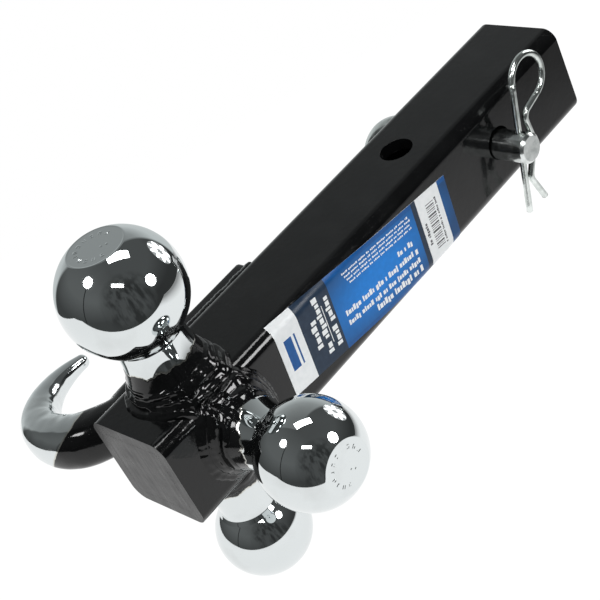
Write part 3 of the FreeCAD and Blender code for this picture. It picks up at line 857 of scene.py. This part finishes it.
WHITE, NAVY, BLUE, DEEP = range(4)
label_zones = [
    (0.0, NAVY_START, -LABEL_HALF, LABEL_HALF, WHITE),
    (NAVY_START, NAVY_END, -LABEL_HALF, LABEL_HALF, NAVY),
    (NAVY_END, LABEL_LENGTH, -LABEL_HALF, LABEL_HALF, BLUE),
    (NAVY_END, LABEL_LENGTH, -LABEL_HALF, -18.0, DEEP),
    (NAVY_END, LABEL_LENGTH, 17.6, LABEL_HALF, DEEP),
    (101.5, CODE_START, -LABEL_HALF, LABEL_HALF, NAVY),
]
# plain block and rule in the white zone
label_bars = [(3.8, 8.8, -8.5, 8.5, DEEP), (10.3, 11.3, -8.5, 8.5, DEEP)]
label_bars += words_up(20.7, 24.2, -9.0, 8.6, [5], 2.9, WHITE)
label_bars += words_up(26.0, 29.4, -15.0, 16.0, [2, 8], 2.6, WHITE)
label_bars += [(30.5, 30.9, -11.0, 9.8, WHITE)]
label_bars += words_up(32.4, 35.7, -14.8, 15.5, [4, 5], 2.6, WHITE)
label_bars += words_along(62.0, 97.6, -15.6, -12.2, [6, 7, 2], 1.75, WHITE)
label_bars += words_along(43.0, 97.8, -10.5, -7.8, [5, 5, 3, 2, 3], 1.5, WHITE)
label_bars += words_along(43.0, 97.5, -5.2, -2.2, [6, 5, 3, 1, 4], 1.6, WHITE)
label_bars += words_along(84.3, 97.2, 0.6, 3.4, [2, 1, 2], 1.6, WHITE)
for line, line_start in enumerate((51.2, 50.0, 49.0, 48.0)):
    low = 8.5 + 2.13 * line
    label_bars += words_along(line_start, 98.4, low, low + 1.0, [4, 3 + line, 5, 2], 0.95, WHITE)
film("label_film", "product_label", (0.0, LABEL_LENGTH, -LABEL_HALF, LABEL_HALF), label_zones, label_bars,
     [white_ink, navy_ink, blue_ink, deep_blue_ink], 0.0, FILM)

# made-up bars that code nothing
BAR_WIDTHS = (0.5, 0.3, 0.9, 0.3, 0.5, 0.6, 0.3, 1.1, 0.4, 0.3,
              0.8, 0.5, 0.3, 0.6, 1.0, 0.3, 0.5, 0.3, 0.7, 0.4)
BAR_GAPS = (0.8, 0.6, 1.0, 0.7)
GREY = 1
code_bars = []
bar_v = -12.0
for count, bar_wide in enumerate(BAR_WIDTHS):
    code_bars.append((110.4, 116.4, bar_v, bar_v + bar_wide, GREY))
    bar_v += bar_wide + BAR_GAPS[count % len(BAR_GAPS)]
code_bars += words_up(117.2, 118.4, -12.4, 14.8, [1, 5, 5, 1], 0.9, GREY)
code_bars += words_up(106.4, 108.2, -7.6, 6.4, [2, 6], 1.3, GREY)
film("barcode_film", "barcode_label", (CODE_START, CODE_END, CODE_LOW, LABEL_HALF), [], code_bars,
     [white_ink, grey_ink], FILM, 2 * FILM)

# ---------------------------------------------------------------- CAD nodes kept as they are
for node, material in (("end_plug", ground_paint), ("end_plug_weld", ground_paint), ("hitch_pin", pin_zinc)):
    for material_slot in frame["nodes"][node].material_slots:
        material_slot.material = material


# ---------------------------------------------------------------- floor
FLOOR_Z = -100.0
DOWN_SHANK = (0.459, 0.888, 0.0)        # direction in which the paper's painted glow fades


def glowing_paper():
    """Paper that glows rather than being lit: evenly white to the camera, so that no shadow greys it; to
    other rays a painted glow that fades along the shank.
    """
    material, tree, shader = new_material("glowing_paper")
    shader.inputs["Base Color"].default_value = rgb(0.05, 0.05, 0.05)
    shader.inputs["Roughness"].default_value = 0.9
    shader.inputs["Emission Color"].default_value = rgb(1.0, 1.0, 1.0)
    place = put(tree, "ShaderNodeTexCoord").outputs["Object"]
    along = put(tree, "ShaderNodeVectorMath", {0: place, 1: DOWN_SHANK}, operation="DOT_PRODUCT")
    # painted glow: the emission that lights the object and shows in its reflections fades from 0.99 to 0.30
    # along the shank
    painted_glow_falloff = ramp(tree, along.outputs["Value"], 0.06, 0.24, 0.99, 0.30)
    seen = put(tree, "ShaderNodeLightPath").outputs["Is Camera Ray"]
    tree.links.new(blend(tree, seen, painted_glow_falloff, 1.0), shader.inputs["Emission Strength"])
    return material


def build_floor():
    """A strip of white paper that runs far past the view at its front end."""
    along = Vector((-0.46, -0.89, 0)).normalized()
    across = Vector((-along.y, along.x, 0))
    near, far, front, back = 410.0, -320.0, 3000.0, -300.0
    corners = [across * near + along * back, across * near + along * front]
    corners += [across * far + along * front, across * far + along * back]
    corners = [c + Vector((0, 0, FLOOR_Z)) for c in corners]
    paper = make_piece("floor", corners, [(0, 1, 2, 3)], [glowing_paper()])


build_floor()


# ---------------------------------------------------------------- lights
def panel(name, place, target, wide, high, radiance, shape="RECTANGLE", roll=0.0):
    """Area light, sizes in millimetres, rolled about its own axis by an angle in degrees."""
    lamp = bpy.data.lights.new(name, "AREA")
    lamp.shape = shape
    lamp.size = wide * MM
    lamp.size_y = high * MM
    area = wide * high * MM * MM * (1.0 if shape == "RECTANGLE" else math.pi / 4)
    lamp.energy = radiance * math.pi * area
    held = bpy.data.objects.new(name, lamp)
    held.location = Vector(place) * MM
    aim = (Vector(target) - Vector(place)).normalized()
    held.rotation_mode = "QUATERNION"
    held.rotation_quaternion = aim.to_track_quat("-Z", "Y") @ Quaternion((0, 0, 1), math.radians(roll))
    held.visible_camera = False
    bpy.context.scene.collection.objects.link(held)
    return held


balls_middle = Vector((20.0, BALL_Y, 30.0))
panel("lamp_left", (-55, -453, 411), balls_middle, 113, 113, 16.0, "ELLIPSE")
panel("lamp_right", (340, -36, 173), balls_middle, 122, 122, 16.0, "ELLIPSE")
panel("lamp_near", (365, -392, 470), balls_middle, 190, 52, 10.0, roll=-30.0)
panel("softbox", (55, -92, 400), (55, -92, 0), 210, 95, 9.0, roll=65.0)

UMBRELLA = Vector((52, 395, 146))
UMBRELLA_R = 172.0
panel("umbrella", UMBRELLA, balls_middle, 2 * UMBRELLA_R, 2 * UMBRELLA_R, 0.45, "ELLIPSE")
to_balls = (balls_middle - UMBRELLA).normalized()
rib_side = to_balls.cross(Vector((0, 0, 1))).normalized()
rib_up = rib_side.cross(to_balls)
PETALS = 8
for petal in range(PETALS):
    spin = 2 * math.pi * (petal + 0.4) / PETALS
    rib = rib_side * math.cos(spin) + rib_up * math.sin(spin)
    middle = UMBRELLA + rib * UMBRELLA_R * 0.6 + to_balls * 4
    long_axis, short_axis = UMBRELLA_R * 0.72, UMBRELLA_R * 0.36
    held = panel("umbrella_rib", middle, middle + to_balls, long_axis, short_axis, 3.0, "ELLIPSE")
    facing = Matrix((rib, -to_balls.cross(rib), -to_balls)).transposed()
    held.rotation_quaternion = facing.to_quaternion()

# the room: a bright wall on the far left, a dark studio with its gear elsewhere
world = bpy.data.worlds.new("studio")
bpy.context.scene.world = world
world.use_nodes = True
air = world.node_tree
background = air.nodes["Background"]
direction = put(air, "ShaderNodeTexCoord").outputs["Generated"]
height = put(air, "ShaderNodeSeparateXYZ", {0: direction}).outputs["Z"]


def towards(azimuth, elevation=0.0):
    """Cosine between the looked-at direction and a fixed one, angles in degrees."""
    a, e = math.radians(azimuth), math.radians(elevation)
    fixed = Vector((math.cos(a) * math.cos(e), math.sin(a) * math.cos(e), math.sin(e)))
    cosine = put(air, "ShaderNodeVectorMath", {0: direction, 1: fixed}, operation="DOT_PRODUCT")
    return cosine.outputs["Value"]


drift = put(air, "ShaderNodeMapping", {"Vector": direction, "Scale": (7.0, 7.0, 1.6)}).outputs[0]
gear = put(air, "ShaderNodeTexNoise", {"Vector": drift, "Scale": 1.0, "Detail": 3.0}).outputs[0]
dark_round = ramp(air, towards(-115), 0.0, 0.75, 0.080, 0.125)
dark_up = ramp(air, height, -0.1, 0.45, 0.5, 1.1)
dark_side = calc(air, "MULTIPLY", dark_round, dark_up)
gear_zone = ramp(air, towards(-22, 12), 0.62, 0.90)
gear_shade = ramp(air, gear, 0.42, 0.60, 0.035, 0.085)
studio_grey = blend(air, gear_zone, dark_side, gear_shade)
stand_side = calc(air, "ABSOLUTE", towards(-14))
stand_line = ramp(air, stand_side, 0.010, 0.018, 1.0, 0.0)
stand = calc(air, "MULTIPLY", stand_line, ramp(air, towards(-104), 0.55, 0.65))
studio_grey = blend(air, stand, studio_grey, 0.02)
wall_grey = blend(air, ramp(air, height, 0.0, 0.4), 0.66, ramp(air, height, 0.4, 0.9, 0.36, 0.20))
level_squared = calc(air, "SUBTRACT", 1.0, calc(air, "MULTIPLY", height, height))
level = calc(air, "SQRT", calc(air, "MAXIMUM", level_squared, 0.01))
wall = ramp(air, calc(air, "DIVIDE", towards(147), level), 0.73, 0.79)
grey = blend(air, wall, studio_grey, wall_grey)
less_red = calc(air, "MULTIPLY", grey, 0.95)
tint = put(air, "ShaderNodeCombineColor", {0: less_red, 1: grey, 2: grey}).outputs[0]
seen = put(air, "ShaderNodeLightPath").outputs["Is Camera Ray"]
air.links.new(blend(air, seen, tint, rgb(1.0, 1.0, 1.0)), background.inputs["Color"])

bpy.context.scene.view_settings.view_transform = "Standard"

# ---------------------------------------------------------------- camera
CAMERA_PLACE = Vector((499.2, -442.77, 410.81)) * MM
CAMERA_AZIMUTH = math.radians(57.521)
CAMERA_ELEVATION = math.radians(33.831)
CAMERA_ROLL = math.radians(-27.054)
LENS, SENSOR = 89.58, 36.0
SHIFT = (-0.0053, -0.0445)

lens = bpy.data.cameras.new("camera")
lens.lens = LENS
lens.sensor_width = SENSOR
lens.shift_x, lens.shift_y = SHIFT
camera = bpy.data.objects.new("camera", lens)
bpy.context.scene.collection.objects.link(camera)
turn = Matrix.Rotation(CAMERA_AZIMUTH, 4, "Z") @ Matrix.Rotation(math.pi / 2 - CAMERA_ELEVATION, 4, "X")
turn = turn @ Matrix.Rotation(CAMERA_ROLL, 4, "Z")
camera.matrix_world = Matrix.Translation(CAMERA_PLACE) @ turn
bpy.context.scene.camera = camera
